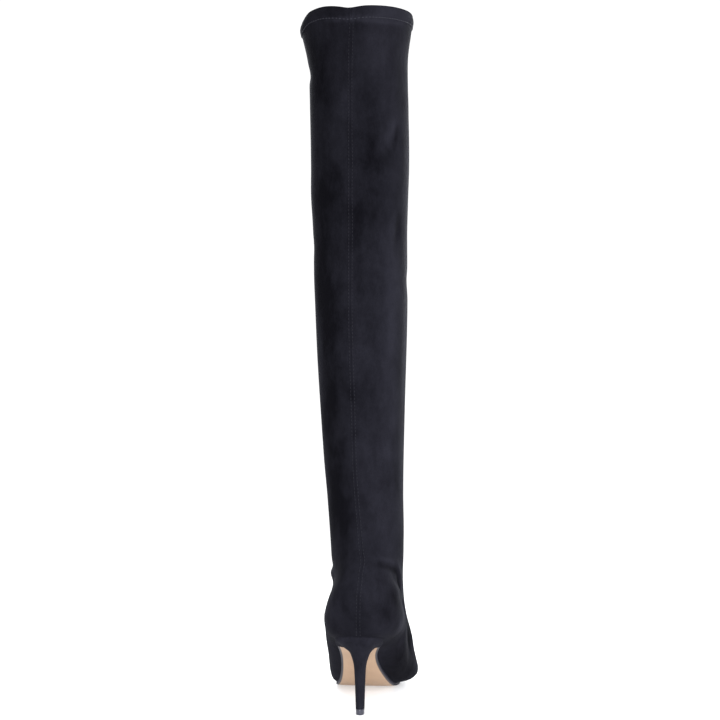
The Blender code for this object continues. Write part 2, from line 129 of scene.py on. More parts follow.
# Soft troughs and ridges in the suede: how far round from the back seam they start and end, in degrees
# towards the inner side, at which heights, how wide they are and how far they stand out, in metres.
FOLDS = (
    # round_1, height_1, round_2, height_2, width, rise
    (14, 0.160, 64, 0.149, 0.0040, 0.0013),
    (14, 0.153, 62, 0.140, 0.0034, -0.0014),
    (62, 0.149, 76, 0.128, 0.0042, 0.0014),
    (58, 0.142, 68, 0.110, 0.0036, -0.0018),
    (-118, 0.147, -62, 0.144, 0.0050, -0.0012),
    (-124, 0.126, -58, 0.127, 0.0055, -0.0013),
    (-120, 0.137, -60, 0.136, 0.0050, 0.0018),
    (62, 0.494, 56, 0.470, 0.0040, -0.0012),
    (-102, 0.476, -70, 0.470, 0.0070, -0.0010),
    (52, 0.585, 38, 0.563, 0.0075, -0.0009),
    (66, 0.600, 62, 0.520, 0.0090, 0.0008),
    (36, 0.655, 34, 0.600, 0.0100, -0.0008),
    (52, 0.668, 56, 0.606, 0.0090, 0.0008),
    (-96, 0.652, -66, 0.642, 0.0070, -0.0020),
    (146, 0.186, 208, 0.178, 0.0060, -0.0026),
    (140, 0.168, 214, 0.160, 0.0060, 0.0018),
    (136, 0.150, 208, 0.142, 0.0060, -0.0026),
    (150, 0.132, 202, 0.126, 0.0060, 0.0014),
    (112, 0.170, 140, 0.150, 0.0060, -0.0018),
    (220, 0.168, 248, 0.156, 0.0060, -0.0018),
    (118, 0.484, 176, 0.462, 0.0100, -0.0022),
    (188, 0.450, 240, 0.470, 0.0100, -0.0022),
    (126, 0.515, 226, 0.506, 0.0120, 0.0016),
    (96, 0.440, 150, 0.420, 0.0110, -0.0018),
    (150, 0.395, 214, 0.402, 0.0120, 0.0014),
    (210, 0.430, 262, 0.412, 0.0110, -0.0018),
    (20, 0.230, 20, 0.640, 0.0160, -0.0008),
    (48, 0.190, 48, 0.560, 0.0180, 0.0010),
    (-34, 0.180, -34, 0.600, 0.0200, -0.0010),
    (-64, 0.260, -64, 0.660, 0.0180, 0.0009),
    (84, 0.200, 96, 0.600, 0.0140, -0.0014),
    (120, 0.220, 124, 0.620, 0.0160, -0.0018),
    (160, 0.200, 156, 0.640, 0.0180, 0.0016),
    (215, 0.240, 206, 0.660, 0.0160, -0.0018),
    (258, 0.230, 250, 0.580, 0.0150, -0.0014),
)

# Streaks and patches of tone, laid like the folds: some are brushed nap, most are painted light and shade.
# Painted shade darkens the leg's outer side, the folds' troughs, a crease and the forefoot; painted
# highlights lighten the hem, the folds' ridges and a crescent on the counter. Tone is above 0 where the suede
# is paler and below 0 where it is darker; where streaks meet, their tones add up, to 1 or -1 at most.
NAP_AND_PAINTED_LIGHT = (
    # round_1, height_1, round_2, height_2, width, tone
    (-33, 0.700, -33, 0.340, 0.0230, -0.7),
    (-32, 0.470, -30, 0.110, 0.0210, -0.65),
    (-30, 0.260, -30, 0.130, 0.0200, -0.3),
    (10, 0.680, 10, 0.180, 0.0170, -0.28),
    (-16, 0.192, -25, 0.168, 0.0060, -0.3),
    (-22, 0.692, 0, 0.692, 0.0022, 1.2),
    (0, 0.692, 58, 0.694, 0.0030, 2.4),
    (20, 0.701, 80, 0.703, 0.0090, 1.6),
    (12, 0.678, 25, 0.668, 0.0060, 0.5),
    (24, 0.645, 15, 0.580, 0.0110, -0.32),
    (19, 0.580, 22, 0.535, 0.0090, -0.5),
    (62, 0.602, 28, 0.556, 0.0060, 0.8),
    (57, 0.590, 53, 0.568, 0.0026, -1.0),
    (8, 0.530, 8, 0.400, 0.0050, -0.4),
    (60, 0.504, 56, 0.466, 0.0040, -0.8),
    (30, 0.330, 36, 0.180, 0.0200, 0.10),
    (52, 0.480, 50, 0.260, 0.0120, 0.9),
    (47, 0.270, 44, 0.252, 0.0060, 0.5),
    (22, 0.158, 66, 0.147, 0.0030, 0.6),
    (16, 0.153, 62, 0.140, 0.0030, -0.6),
    (56, 0.143, 68, 0.112, 0.0036, -1.0),
    (26, 0.128, 28, 0.106, 0.0060, -0.7),
    (14, 0.108, 26, 0.096, 0.0070, -0.5),
    (-30, 0.112, -4, 0.094, 0.0080, 0.2),
    (62, 0.105, 32, 0.092, 0.0045, 1.2),
    (32, 0.094, 32, 0.078, 0.0045, 1.2),
    (32, 0.082, 48, 0.064, 0.0045, 1.2),
    (64, 0.050, 112, 0.018, 0.0180, -1.2),
    (76, 0.075, 100, 0.060, 0.0140, -1.0),
    (106, 0.080, 82, 0.036, 0.0100, -1.2),
)

# The back seam wanders a little: how far it lies to the inner side of the solid model's seam, at which climb.
SEAM_LINE = (
    # climb, aside
    (0.000, 0.0017),
    (0.036, 0.0016),
    (0.072, 0.0009),
    (0.107, 0.0007),
    (0.125, 0.0019),
    (0.145, 0.0028),
    (0.161, 0.0028),
    (0.179, 0.0020),
    (0.197, 0.0000),
    (0.215, -0.0011),
    (0.251, -0.0026),
    (0.304, -0.0019),
    (0.340, -0.0020),
    (0.394, -0.0011),
    (0.430, -0.0002),
    (0.501, 0.0008),
    (0.573, -0.0004),
    (0.609, 0.0000),
    (0.644, 0.0009),
    (0.680, 0.0032),
    (0.698, 0.0034),
)


# Curves

def through(knots, rows, places):
    """Points on a smooth curve through rows, read at places along the knots."""
    spans = np.diff(knots)
    chords = np.diff(rows, axis=0) / spans.reshape((-1,) + (1,) * (rows.ndim - 1))
    slopes = np.empty_like(rows)
    slopes[0], slopes[-1] = chords[0], chords[-1]
    for row in range(1, len(rows) - 1):
        before, after = spans[row - 1], spans[row]
        slopes[row] = (chords[row - 1] * after + chords[row] * before) / (before + after)
    found = np.clip(np.searchsorted(knots, places, side="right") - 1, 0, len(spans) - 1)
    share = ((places - knots[found]) / spans[found]).reshape((-1,) + (1,) * (rows.ndim - 1))
    span = spans[found].reshape(share.shape)
    start = (1 + 2 * share) * (1 - share) ** 2
    end = share ** 2 * (3 - 2 * share)
    bend = share * (1 - share) * span
    return (start * rows[found] + end * rows[found + 1]
            + bend * ((1 - share) * slopes[found] - share * slopes[found + 1]))


def round_weights(knots, girth, places):
    """Weights that read a closed smooth curve at places, one row of weights a place."""
    count = len(knots)
    index = np.arange(-2, count + 3)
    ring = knots[index % count] + girth * (index // count)
    weights = through(ring, np.eye(len(index)), np.mod(places, girth))
    folded = np.zeros((len(places), count))
    for column, point in enumerate(index % count):
        folded[:, point] += weights[:, column]
    return folded


def ramp(values, low, high):
    """0 below low, 1 above high and a smooth rise between."""
    share = np.clip((values - low) / (high - low), 0.0, 1.0)
    return share * share * (3 - 2 * share)


def bell(values, width):
    """1 at nought, falling smoothly to each side; width is from the middle to about a third of the height."""
    return np.exp(-(values / width) ** 2)


# The wall, read from the solid model

def ring_in_order(ring):
    """The points of one closed ring of a tube, neighbour after neighbour."""
    ordered = [next(iter(ring))]
    while len(ordered) < len(ring):
        beside = [e.other_vert(ordered[-1]) for e in ordered[-1].link_edges]
        ordered.append(next(v for v in beside
                            if v in ring and v not in ordered[-2:] and v is not ordered[0]))
    return np.array([v.co for v in ordered])


def started_at_the_seam(ring):
    """The ring from its back seam's middle on, inner side first; the two shortest edges are the seam's."""
    lengths = np.linalg.norm(np.roll(ring, -1, axis=0) - ring, axis=1)
    first, second = np.sort(np.argsort(lengths)[:2])
    if second - first >= len(ring) // 2:
        first, second = second, first + len(ring)
    ring = np.roll(ring, -((first + second + 1) // 2), axis=0)
    return ring if ring[1, 0] > ring[0, 0] else np.roll(ring[::-1], 1, axis=0)


def lined_up(ring, model):
    """The ring turned round, and over if need be, to lie point by point beside the model ring."""
    best = None
    for turned in (ring, ring[::-1]):
        for shift in range(len(ring)):
            tried = np.roll(turned, shift, axis=0)
            apart = np.linalg.norm(tried - model, axis=1).sum()
            if best is None or apart < best[0]:
                best = (apart, tried)
    return best[1]


def runs_across(pair, middle):
    """Whether an edge runs through the wall, seen from above, and not along it."""
    along = (pair[0].co - pair[1].co).xy.normalized()
    outwards = ((pair[0].co + pair[1].co).xy / 2 - middle).normalized()
    return abs(along.dot(outwards)) > ACROSS


def tube_walls(node):
    """The outer and the inner wall of a CAD tube, each as rows of points from its foot up."""
    cage = bmesh.new()
    cage.from_mesh(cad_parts[node].data)
    bmesh.ops.remove_doubles(cage, verts=cage.verts, dist=MERGE)
    top = max(v.co.z for v in cage.verts)
    level = [e.verts for e in cage.edges
             if abs(e.verts[0].co.z - e.verts[1].co.z) < LEVEL and e.verts[0].co.z > top - RIM_BAND]
    middle = Vector(np.mean([v.co.xy for pair in level for v in pair], axis=0))
    across = [pair for pair in level if runs_across(pair, middle)]
    outer_rim = {max(pair, key=lambda v: (v.co.xy - middle).length) for pair in across}
    inner_rim = {min(pair, key=lambda v: (v.co.xy - middle).length) for pair in across}
    rings, seen, ring = [], set(inner_rim), outer_rim
    while ring:
        rings.append(ring)
        seen |= ring
        ring = {e.other_vert(v) for v in ring for e in v.link_edges} - seen
    rings.append(inner_rim)
    if len({len(ring) for ring in rings}) != 1:
        counts = sorted({len(ring) for ring in rings})
        raise RuntimeError(f"{node} isn't a regular tube: its rings have {counts} points")
    rows = [started_at_the_seam(ring_in_order(rings[0]))]
    for ring in rings[1:]:
        rows.append(lined_up(ring_in_order(ring), rows[-1]))
    cage.free()
    count = len(rows) // 2
    return np.array(rows[:count][::-1]), np.array(rows[count:])


class Wall:
    """The boot's wall without its raised seam and hem, as one smooth surface from the sole to the rim."""

    def __init__(self):
        upper, upper_inside = tube_walls("upper")
        shaft, shaft_inside = tube_walls("shaft")
        leg_depth = np.linalg.norm(shaft - shaft_inside, axis=2)
        foot_depth = np.linalg.norm(upper - upper_inside, axis=2)
        self.thickness = float(leg_depth[LEG_ROWS, PLAIN_COLUMNS].mean())
        self.foot_thickness = float(foot_depth[FOOT_ROWS, PLAIN_COLUMNS].mean())
        stacked = []
        for outside, inside, plain in ((upper, upper_inside, self.foot_thickness),
                                       (shaft, shaft_inside, self.thickness)):
            through_wall = outside - inside
            depth = np.linalg.norm(through_wall, axis=2, keepdims=True)
            stacked.append(np.where(depth > plain * RAISED, inside + through_wall / depth * plain, outside))
        foot, leg = stacked
        self.grid = np.concatenate([foot[:-1], [(foot[-1] + leg[0]) / 2], leg[1:]])
        beside_the_seam = (1, self.grid.shape[1] - 1)
        self.grid = np.delete(self.grid, beside_the_seam, axis=1)
        steps_up = np.linalg.norm(np.diff(self.grid, axis=0), axis=2).mean(axis=1)
        steps_round = np.linalg.norm(np.roll(self.grid, -1, axis=1) - self.grid, axis=2).mean(axis=0)
        self.climbs = np.concatenate([[0.0], np.cumsum(steps_up)])
        self.rounds = np.concatenate([[0.0], np.cumsum(steps_round)[:-1]])
        self.girth = float(steps_round.sum())
        self.rim = float(self.climbs[-1])
        self.join = float(self.climbs[len(foot) - 1])
        self.lines = {}
        seam_climbs, asides = np.array(SEAM_LINE).T
        for row, aside in enumerate(np.interp(self.climbs, seam_climbs, asides)):
            self.grid[row] = round_weights(self.rounds, self.girth, self.rounds + aside) @ self.grid[row]

    def at(self, climbs, rounds):
        """Points of the surface, a row for each climb and a column for each round."""
        climbs = np.clip(climbs, 0.0, self.rim)
        rows = through(self.climbs, self.grid, np.asarray(climbs, float))
        weights = round_weights(self.rounds, self.girth, np.asarray(rounds, float))
        return np.einsum("rcd,sc->rsd", rows, weights)

    def normals(self, climbs, rounds):
        """Unit normals, outwards, at the same places."""
        climbs, rounds = np.asarray(climbs), np.asarray(rounds)
        along = self.at(climbs + NEAR, rounds) - self.at(climbs - NEAR, rounds)
        across = self.at(climbs, rounds + NEAR) - self.at(climbs, rounds - NEAR)
        normals = np.cross(across, along)
        return normals / np.linalg.norm(normals, axis=2, keepdims=True)

    def stretch(self, climbs):
        """How many real metres a metre of round is beside the seam, at each climb."""
        beside = self.at(climbs, [-BESIDE, BESIDE])
        return np.linalg.norm(beside[:, 1] - beside[:, 0], axis=1) / (2 * BESIDE)

    def place(self, degrees, height):
        """The point of the surface at an angle round from the seam and at a height above the floor."""
        climbs = np.linspace(self.climbs[2], self.rim, HEIGHTS_TRIED)
        column = self.at(climbs, [degrees / FULL_TURN * self.girth])[:, 0]
        return column[np.argmin(np.abs(column[:, 2] - height))]


def distance_to_line(points, start, end):
    """How far points lie from a straight line between two places, and how far along it."""
    along = end - start
    share = np.clip((points - start) @ along / max(along @ along, MERGE ** 2), 0.0, 1.0)
    nearest = start + share[..., None] * along
    return np.linalg.norm(points - nearest, axis=-1), share


def line_on(wall, ends):
    """Places on the wall from one end of a fold or streak to the other."""
    if ends not in wall.lines:
        round_1, height_1, round_2, height_2 = ends
        wall.lines[ends] = [wall.place(round_1 + (round_2 - round_1) * share,
                                       height_1 + (height_2 - height_1) * share)
                            for share in np.linspace(0.0, 1.0, LINE_POINTS)]
    return wall.lines[ends]


def streaked(wall, points, streaks):
    """The sum of folds, or of streaks of nap and painted light and shade, at each point; each fades to its
    sides and towards its ends.
    """
    total = np.zeros(points.shape[:2])
    for *ends, width, strength in streaks:
        line = line_on(wall, tuple(ends))
        nearest = np.full(total.shape, np.inf)
        place = np.zeros(total.shape)
        for step, (start, end) in enumerate(zip(line, line[1:])):
            apart, share = distance_to_line(points, start, end)
            closer = apart < nearest
            nearest[closer] = apart[closer]
            place[closer] = (step + share[closer]) / (len(line) - 1)
        taper = FAINT_END + (1 - FAINT_END) * np.sin(math.pi * np.clip(place, 0.0, 1.0))
        total += strength * taper * bell(nearest, width)
    return total


def fold_rise(wall, sizes, points):
    """How far the folds lift points of the plain wall."""
    return sizes.fold_strength * streaked(wall, points, FOLDS)


def seam_relief(sizes, aside):
    """The back seam across its width: a flat band, grooved down its middle and under both stitched rows."""
    off = np.abs(aside)
    band = sizes.seam_step * (1 - ramp(off, sizes.seam_width / 2, sizes.seam_width / 2 + sizes.seam_slope))
    groove = sizes.seam_groove * bell(off, sizes.groove_width)
    rows = sizes.stitch_sink * bell(off - sizes.row_spacing / 2, sizes.groove_width)
    return band - groove - rows


def hem_relief(sizes, below_rim):
    """The turned hem down its depth: a step up from the leg, with a groove along its stitched row."""
    step = sizes.hem_step * (1 - ramp(below_rim, sizes.hem_depth - sizes.seam_slope, sizes.hem_depth))
    row = sizes.stitch_sink * bell(below_rim - sizes.hem_depth + sizes.hem_row, sizes.groove_width * 2)
    puff = sizes.hem_puff * bell(below_rim - sizes.hem_depth / 2, sizes.hem_depth / 3)
    return step - row + puff


def gathers(sizes, below_rim, aside):
    """Small puckers where the hem's stitches draw the back seam in."""
    waves = np.cos(2 * math.pi * aside / sizes.gather_length)
    near = bell(aside, 4 * sizes.gather_length) * bell(below_rim - sizes.hem_depth, sizes.hem_depth / 2)
    return sizes.gather_rise * waves * near


def wrap_relief(wall, sizes, climbs, rounds):
    """How far the skin stands off the plain wall at each place."""
    below_rim = wall.rim - np.asarray(climbs)[:, None]
    signed = np.mod(np.asarray(rounds) + wall.girth / 2, wall.girth) - wall.girth / 2
    aside = signed * wall.stretch(climbs)[:, None]
    return seam_relief(sizes, aside) + hem_relief(sizes, below_rim) + gathers(sizes, below_rim, aside)


# Meshes

def only(obj):
    """obj alone is selected and active."""
    bpy.ops.object.select_all(action="DESELECT")
    obj.select_set(True)
    bpy.context.view_layer.objects.active = obj


def wrapped(name, places, nap_and_light_tones=None):
    """A grid laid over rows of places and closed where its first and last columns meet."""
    rows, columns = places.shape[0] - 1, places.shape[1] - 1
    bpy.ops.object.select_all(action="DESELECT")
    bpy.ops.mesh.primitive_grid_add(x_subdivisions=columns, y_subdivisions=rows, size=1.0)
    piece = bpy.context.active_object
    piece.name = piece.data.name = name
    flat = np.array([v.co for v in piece.data.vertices])
    column = np.rint((flat[:, 0] + 0.5) * columns).astype(int)
    row = np.rint((flat[:, 1] + 0.5) * rows).astype(int)
    piece.data.vertices.foreach_set("co", places[row, column].astype(np.float32).ravel())
    # The tones are brushed nap and painted light and shade, kept on the points for the suede's colour.
    if nap_and_light_tones is not None:
        nap_and_painted_light = piece.data.attributes.new("nap_and_painted_light", "FLOAT", "POINT")
        nap_and_painted_light.data.foreach_set("value", nap_and_light_tones[row, column].astype(np.float32))
    bpy.ops.object.mode_set(mode="EDIT")
    bpy.ops.mesh.select_all(action="SELECT")
    bpy.ops.mesh.remove_doubles(threshold=MERGE)
    bpy.ops.object.mode_set(mode="OBJECT")
    bpy.ops.object.shade_smooth()
    return piece


def copied(node, name):
    """A copy of a CAD node with its triangles merged into one skin of quads."""
    only(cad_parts[node])
    bpy.ops.object.duplicate()
    piece = bpy.context.active_object
    piece.name = piece.data.name = name
    for key in [key for key in piece.keys() if key.startswith("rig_")]:
        del piece[key]
    piece.parent = None
    piece.data.materials.clear()
    bpy.ops.object.mode_set(mode="EDIT")
    bpy.ops.mesh.select_all(action="SELECT")
    bpy.ops.mesh.remove_doubles(threshold=MERGE)
    bpy.ops.mesh.tris_convert_to_quads(face_threshold=math.pi, shape_threshold=math.pi,
                                       topology_influence=2.0)
    bpy.ops.object.mode_set(mode="OBJECT")
    return piece


def smoothed(piece, edge_angle, edge_width):
    """The piece subdivided between its edges, which are then rounded a little; all modifiers are applied."""
    only(piece)
    cage = bmesh.new()
    cage.from_mesh(piece.data)
    crease = cage.edges.layers.float.get("crease_edge") or cage.edges.layers.float.new("crease_edge")
    for edge in cage.edges:
        if len(edge.link_faces) == 2 and edge.calc_face_angle() > edge_angle:
            edge[crease] = 1.0
    cage.to_mesh(piece.data)
    cage.free()
    finer = piece.modifiers.new("finer", "SUBSURF")
    finer.levels = finer.render_levels = FINER
    bpy.ops.object.modifier_apply(modifier=finer.name)
    rounded = piece.modifiers.new("rounded", "BEVEL")
    rounded.width = edge_width
    rounded.segments = 2
    rounded.limit_method = "ANGLE"
    rounded.angle_limit = edge_angle
    bpy.ops.object.modifier_apply(modifier=rounded.name)
    bpy.ops.object.shade_smooth_by_angle(angle=edge_angle)
    return piece


def finished(piece, slot, *nodes):
    """The piece rides on the boot and stands for its CAD nodes, which are hidden; the slot is not used."""
    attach(piece, "root")
    if nodes:
        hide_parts(*nodes)


def stitched(name, places, tangents, normals, stitch_length, thickness):
    """One mesh of equal stitches, a rounded bead of thread at each place, laid along its tangent."""
    bpy.ops.object.select_all(action="DESELECT")
    bpy.ops.mesh.primitive_uv_sphere_add(segments=6, ring_count=5, radius=0.5)
    bead = bpy.context.active_object
    shape = np.array([v.co for v in bead.data.vertices])
    faces = [tuple(p.vertices) for p in bead.data.polygons]
    bpy.data.objects.remove(bead)
    shape[:, 2] = np.sign(shape[:, 2]) * np.abs(2 * shape[:, 2]) ** BEAD_BLUNT / 2
    wide, high, long = (shape * (thickness, thickness * BEAD_FLAT, stitch_length)).T[:, None, :, None]
    points = (places[:, None] + wide * np.cross(tangents, normals)[:, None] + high * normals[:, None]
              + long * tangents[:, None])
    mesh = bpy.data.meshes.new(name)
    all_faces = [tuple(vertex + stitch * len(shape) for vertex in face)
                 for stitch in range(len(places)) for face in faces]
    mesh.from_pydata(points.reshape(-1, 3).tolist(), [], all_faces)
    piece = bpy.data.objects.new(name, mesh)
    bpy.context.scene.collection.objects.link(piece)
    only(piece)
    bpy.ops.object.mode_set(mode="EDIT")
    bpy.ops.mesh.select_all(action="SELECT")
    bpy.ops.mesh.normals_make_consistent(inside=False)
    bpy.ops.object.mode_set(mode="OBJECT")
    bpy.ops.object.shade_smooth()
    return piece


# Materials

def material(name, roughness):
    """A new material and its shader."""
    made = bpy.data.materials.new(name)
    made.use_nodes = True
    shader = made.node_tree.nodes["Principled BSDF"]
    shader.inputs["Roughness"].default_value = roughness
    shader.inputs["Metallic"].default_value = 0.0
    return made, shader


def grain(tree, scale, detail=4.0, stretch=(1.0, 1.0, 1.0), mottling=0.5):
    """Noise on object coordinates: scale lumps a metre, closer together where stretch is larger.

    Mottling is the strength of each finer layer of lumps as a share of the one before it.
    """
    nodes, links = tree.nodes, tree.links
    place = nodes.new("ShaderNodeTexCoord")
    mapping = nodes.new("ShaderNodeMapping")
    mapping.inputs["Scale"].default_value = stretch
    noise = nodes.new("ShaderNodeTexNoise")
    noise.inputs["Scale"].default_value = scale
    noise.inputs["Detail"].default_value = detail
    noise.inputs["Roughness"].default_value = mottling
    links.new(place.outputs["Object"], mapping.inputs["Vector"])
    links.new(mapping.outputs["Vector"], noise.inputs["Vector"])
    return noise.outputs["Fac"]


def blended(tree, share, first, second, low=0.35, high=0.65):
    """A colour between two, as share goes from low to high."""
    band = tree.nodes.new("ShaderNodeMapRange")
    band.inputs["From Min"].default_value = low
    band.inputs["From Max"].default_value = high
    mix = tree.nodes.new("ShaderNodeMix")
    mix.data_type = "RGBA"
    tree.links.new(share, band.inputs["Value"])
    tree.links.new(band.outputs["Result"], mix.inputs["Factor"])
    for socket, colour in ((mix.inputs[6], first), (mix.inputs[7], second)):
        if isinstance(colour, bpy.types.NodeSocket):
            tree.links.new(colour, socket)
        else:
            socket.default_value = (*colour, 1.0)
    return mix.outputs[2]


def times(share, colour):
    """A colour made paler or darker."""
    return [share * part for part in colour]


def coloured(tree, shader, share, first, second, *band):
    """The shader's base colour runs from the first colour to the second as share rises."""
    tree.links.new(blended(tree, share, first, second, *band), shader.inputs["Base Color"])


def bumped(tree, shader, heights):
    """Bumps on the shader, one after the other, each a height with its distance in metres."""
    normal = None
    for height, distance in heights:
        bump = tree.nodes.new("ShaderNodeBump")
        bump.inputs["Distance"].default_value = distance
        tree.links.new(height, bump.inputs["Height"])
        if normal:
            tree.links.new(normal, bump.inputs["Normal"])
        normal = bump.outputs["Normal"]
    tree.links.new(normal, shader.inputs["Normal"])


def suede(name, colours, shade=1.0):
    """Black stretch suede: a dull nap with paler brushed patches, painted highlights and painted shade, fine
    fibres and a faint sheen.
    """
    made, shader = material(name, 0.92)
    tree = made.node_tree
    # The skin's tones of brushed nap and of painted light and shade lighten or darken its colour.
    nap_and_painted_light = tree.nodes.new("ShaderNodeAttribute")
    nap_and_painted_light.attribute_name = "nap_and_painted_light"
    nap_and_light = tree.nodes.new("ShaderNodeMath")
    nap_and_light.operation = "MULTIPLY_ADD"
    nap_and_light.inputs[1].default_value = NAP_AND_LIGHT_GAIN
    tree.links.new(nap_and_painted_light.outputs["Fac"], nap_and_light.inputs[0])
    tree.links.new(grain(tree, 22.0, 5.0, (1.0, 1.0, 0.6), NAP_MOTTLING), nap_and_light.inputs[2])
    fibres = grain(tree, 1500.0, 4.0)
    roots, tips = (blended(tree, nap_and_light.outputs["Value"], times(part * shade, colours.suede),
                           times(part * shade, colours.nap_and_light), *NAP_AND_LIGHT_RANGE) for part in FIBRE_SHADES)
    coloured(tree, shader, fibres, roots, tips, 0.25, 0.75)
    shader.inputs["Specular IOR Level"].default_value = 0.02
    shader.inputs["Sheen Weight"].default_value = 0.009
    shader.inputs["Sheen Roughness"].default_value = 0.35
    shader.inputs["Sheen Tint"].default_value = (*colours.sheen, 1.0)
    bumped(tree, shader, [(grain(tree, 60.0, 3.0), 0.0005), (fibres, 0.0002)])
    return made


def thread(name, colours, shade=1.0):
    """Twisted polyester thread with a faint gloss."""
    made, shader = material(name, 0.6)
    tree = made.node_tree
    shader.inputs["Specular IOR Level"].default_value = 0.08
    twist = grain(tree, 2500.0, 2.0)
    coloured(tree, shader, twist, times(shade, colours.thread), times(0.6 * shade, colours.thread))
    bumped(tree, shader, [(twist, 0.0001)])
    return made


def sole_leather(colours, margin):
    """Natural tan sole leather with a fine grain, painted within the margin beside its edge."""
    made, shader = material("natural_sole_leather", 0.5)
    tree = made.node_tree
    clouds = grain(tree, 35.0, 4.0)
    pores = grain(tree, 700.0, 3.0)
    darker = times(0.86, colours.sole)
    tint = blended(tree, clouds, darker, colours.sole)
    leather = blended(tree, pores, darker, tint, 0.25, 0.5)
    reach = tree.nodes.new("ShaderNodeAttribute")
    reach.attribute_name = "from_edge"
    coloured(tree, shader, reach.outputs["Fac"], colours.edge, leather, 0.8 * margin, 1.2 * margin)
    shader.inputs["Specular IOR Level"].default_value = 0.3
    shader.inputs["Coat Weight"].default_value = 0.08
    shader.inputs["Coat Roughness"].default_value = 0.35
    bumped(tree, shader, [(pores, 0.0001), (clouds, 0.0002)])
    return made


def edge_paint(colours):
    """The black edge dressing round the sole: nearly matt and a little uneven."""
    made, shader = material("black_edge_paint", 0.6)
    tree = made.node_tree
    shader.inputs["Specular IOR Level"].default_value = 0.05
    waves = grain(tree, 180.0, 3.0)
    coloured(tree, shader, waves, colours.edge, times(1.3, colours.edge))
    bumped(tree, shader, [(waves, 0.0002)])
    return made


def lining_cloth(colours):
    """Fine black knitted backing inside the leg."""
    made, shader = material("black_lining", 0.85)
    tree = made.node_tree
    knit = grain(tree, 500.0, 2.0, (1.0, 1.0, 0.5))
    coloured(tree, shader, knit, colours.lining, times(1.8, colours.lining))
    shader.inputs["Sheen Weight"].default_value = 0.1
    bumped(tree, shader, [(knit, 0.0004)])
    return made


def sock_leather(colours):
    """Smooth black sock leather."""
    made, shader = material("black_sock_leather", 0.55)
    tree = made.node_tree
    pebbles = grain(tree, 420.0, 3.0)
    coloured(tree, shader, pebbles, colours.lining, times(1.5, colours.lining))
    bumped(tree, shader, [(pebbles, 0.0003)])
    return made


def lift_plastic(colours):
    """The dense dark plastic of the top piece, with a soft gloss and fine scuffs."""
    made, shader = material("top_piece_plastic", 0.28)
    tree = made.node_tree
    scuffs = grain(tree, 260.0, 4.0, (1.0, 1.0, 3.0))
    coloured(tree, shader, scuffs, colours.lift, times(1.4, colours.lift))
    shader.inputs["Coat Weight"].default_value = 0.2
    shader.inputs["Coat Roughness"].default_value = 0.2
    bumped(tree, shader, [(scuffs, 0.0001)])
    return made


# Sizes and colours

def length(name, description, default):
    """A length that a user may change."""
    return bpy.props.FloatProperty(name=name, description=description, default=default, unit="LENGTH",
                                   precision=5, min=0.0)


def colour(name, description, default):
    """A colour that a user may change."""
    return bpy.props.FloatVectorProperty(name=name, description=description, default=default,
                                         subtype="COLOR", size=3, min=0.0, max=1.0)


class BootSizes(bpy.types.PropertyGroup):
    """Sizes of what is made on the solid model."""
    grid_step: length("Grid step", "Distance between rows of the skin", 0.0023)
    seam_width: length("Seam width", "Width of the raised back seam", 0.0046)
    seam_step: length("Seam step", "How far the back seam stands out", 0.0004)
    seam_slope: length("Seam slope", "Width of the slope beside a raised step", 0.0008)
    seam_groove: length("Seam groove", "Depth of the groove down the seam's middle", 0.0006)
    groove_width: length("Groove width", "Half width of a groove", 0.0005)
    row_spacing: length("Row spacing", "Distance between the two stitched rows", 0.0037)
    stitch_sink: length("Stitch sink", "How far a stitched row draws the suede in", 0.0003)
    stitch_length: length("Stitch length", "Length of one stitch", 0.0024)
    stitch_gap: length("Stitch gap", "Suede between two stitches", 0.0012)
    thread: length("Thread", "Thickness of the thread", 0.00055)
    hem_thread: length("Hem thread", "Thickness of the hem's thread", 0.0009)
    hem_depth: length("Hem depth", "Depth of the turned hem", 0.0132)
    hem_step: length("Hem step", "How far the hem stands off the leg", 0.0008)
    hem_row: length("Hem row", "The hem's stitched row above its edge", 0.0012)
    hem_puff: length("Hem puff", "How far the hem swells between rim and row", 0.0008)
    hem_inside: length("Hem inside", "How far the hem runs down inside", 0.0150)
    gather_length: length("Gather length", "Distance between two puckers at the hem", 0.0060)
    gather_rise: length("Gather rise", "Height of a pucker", 0.0006)
    tuck: length("Tuck", "How far the suede runs in over the sole", 0.0012)
    lap: length("Lap", "How far the suede hangs over the sole's and the heel's top edge", 0.0009)
    flare: length("Flare", "How much fuller the heel is below its seat", 0.0024)
    margin: length("Margin", "Width of the painted border under the sole", 0.0021)
    fold_strength: bpy.props.FloatProperty(name="Fold strength", description="Share of each fold's height",
                                           default=1.0, min=0.0, max=2.0)
    edge_radius: length("Edge radius", "Rounding of the sole's and the heel's edges", 0.0004)


class BootColours(bpy.types.PropertyGroup):
    """Base colours of the boot's materials."""
    # Where the tones paint shade the suede colour stands for it, and where they paint highlights the nap
    # colour does.
    suede: colour("Suede", "Suede in the hollows of its nap", (0.0028, 0.0027, 0.0040))
    nap_and_light: colour("Nap", "Suede where it is brushed up", (0.0150, 0.0148, 0.0205))
    sheen: colour("Sheen", "Light on the fibres' tips", (0.72, 0.76, 1.0))
    thread: colour("Thread", "Sewing thread", (0.0160, 0.0160, 0.0208))
    sole: colour("Sole", "Natural sole leather", (0.385, 0.252, 0.160))
    edge: colour("Edge", "Paint on the sole's edge", (0.016, 0.015, 0.023))
    lining: colour("Lining", "Cloth inside the leg", (0.010, 0.010, 0.012))
    lift: colour("Top piece", "Plastic under the heel", (0.0165, 0.0165, 0.028))


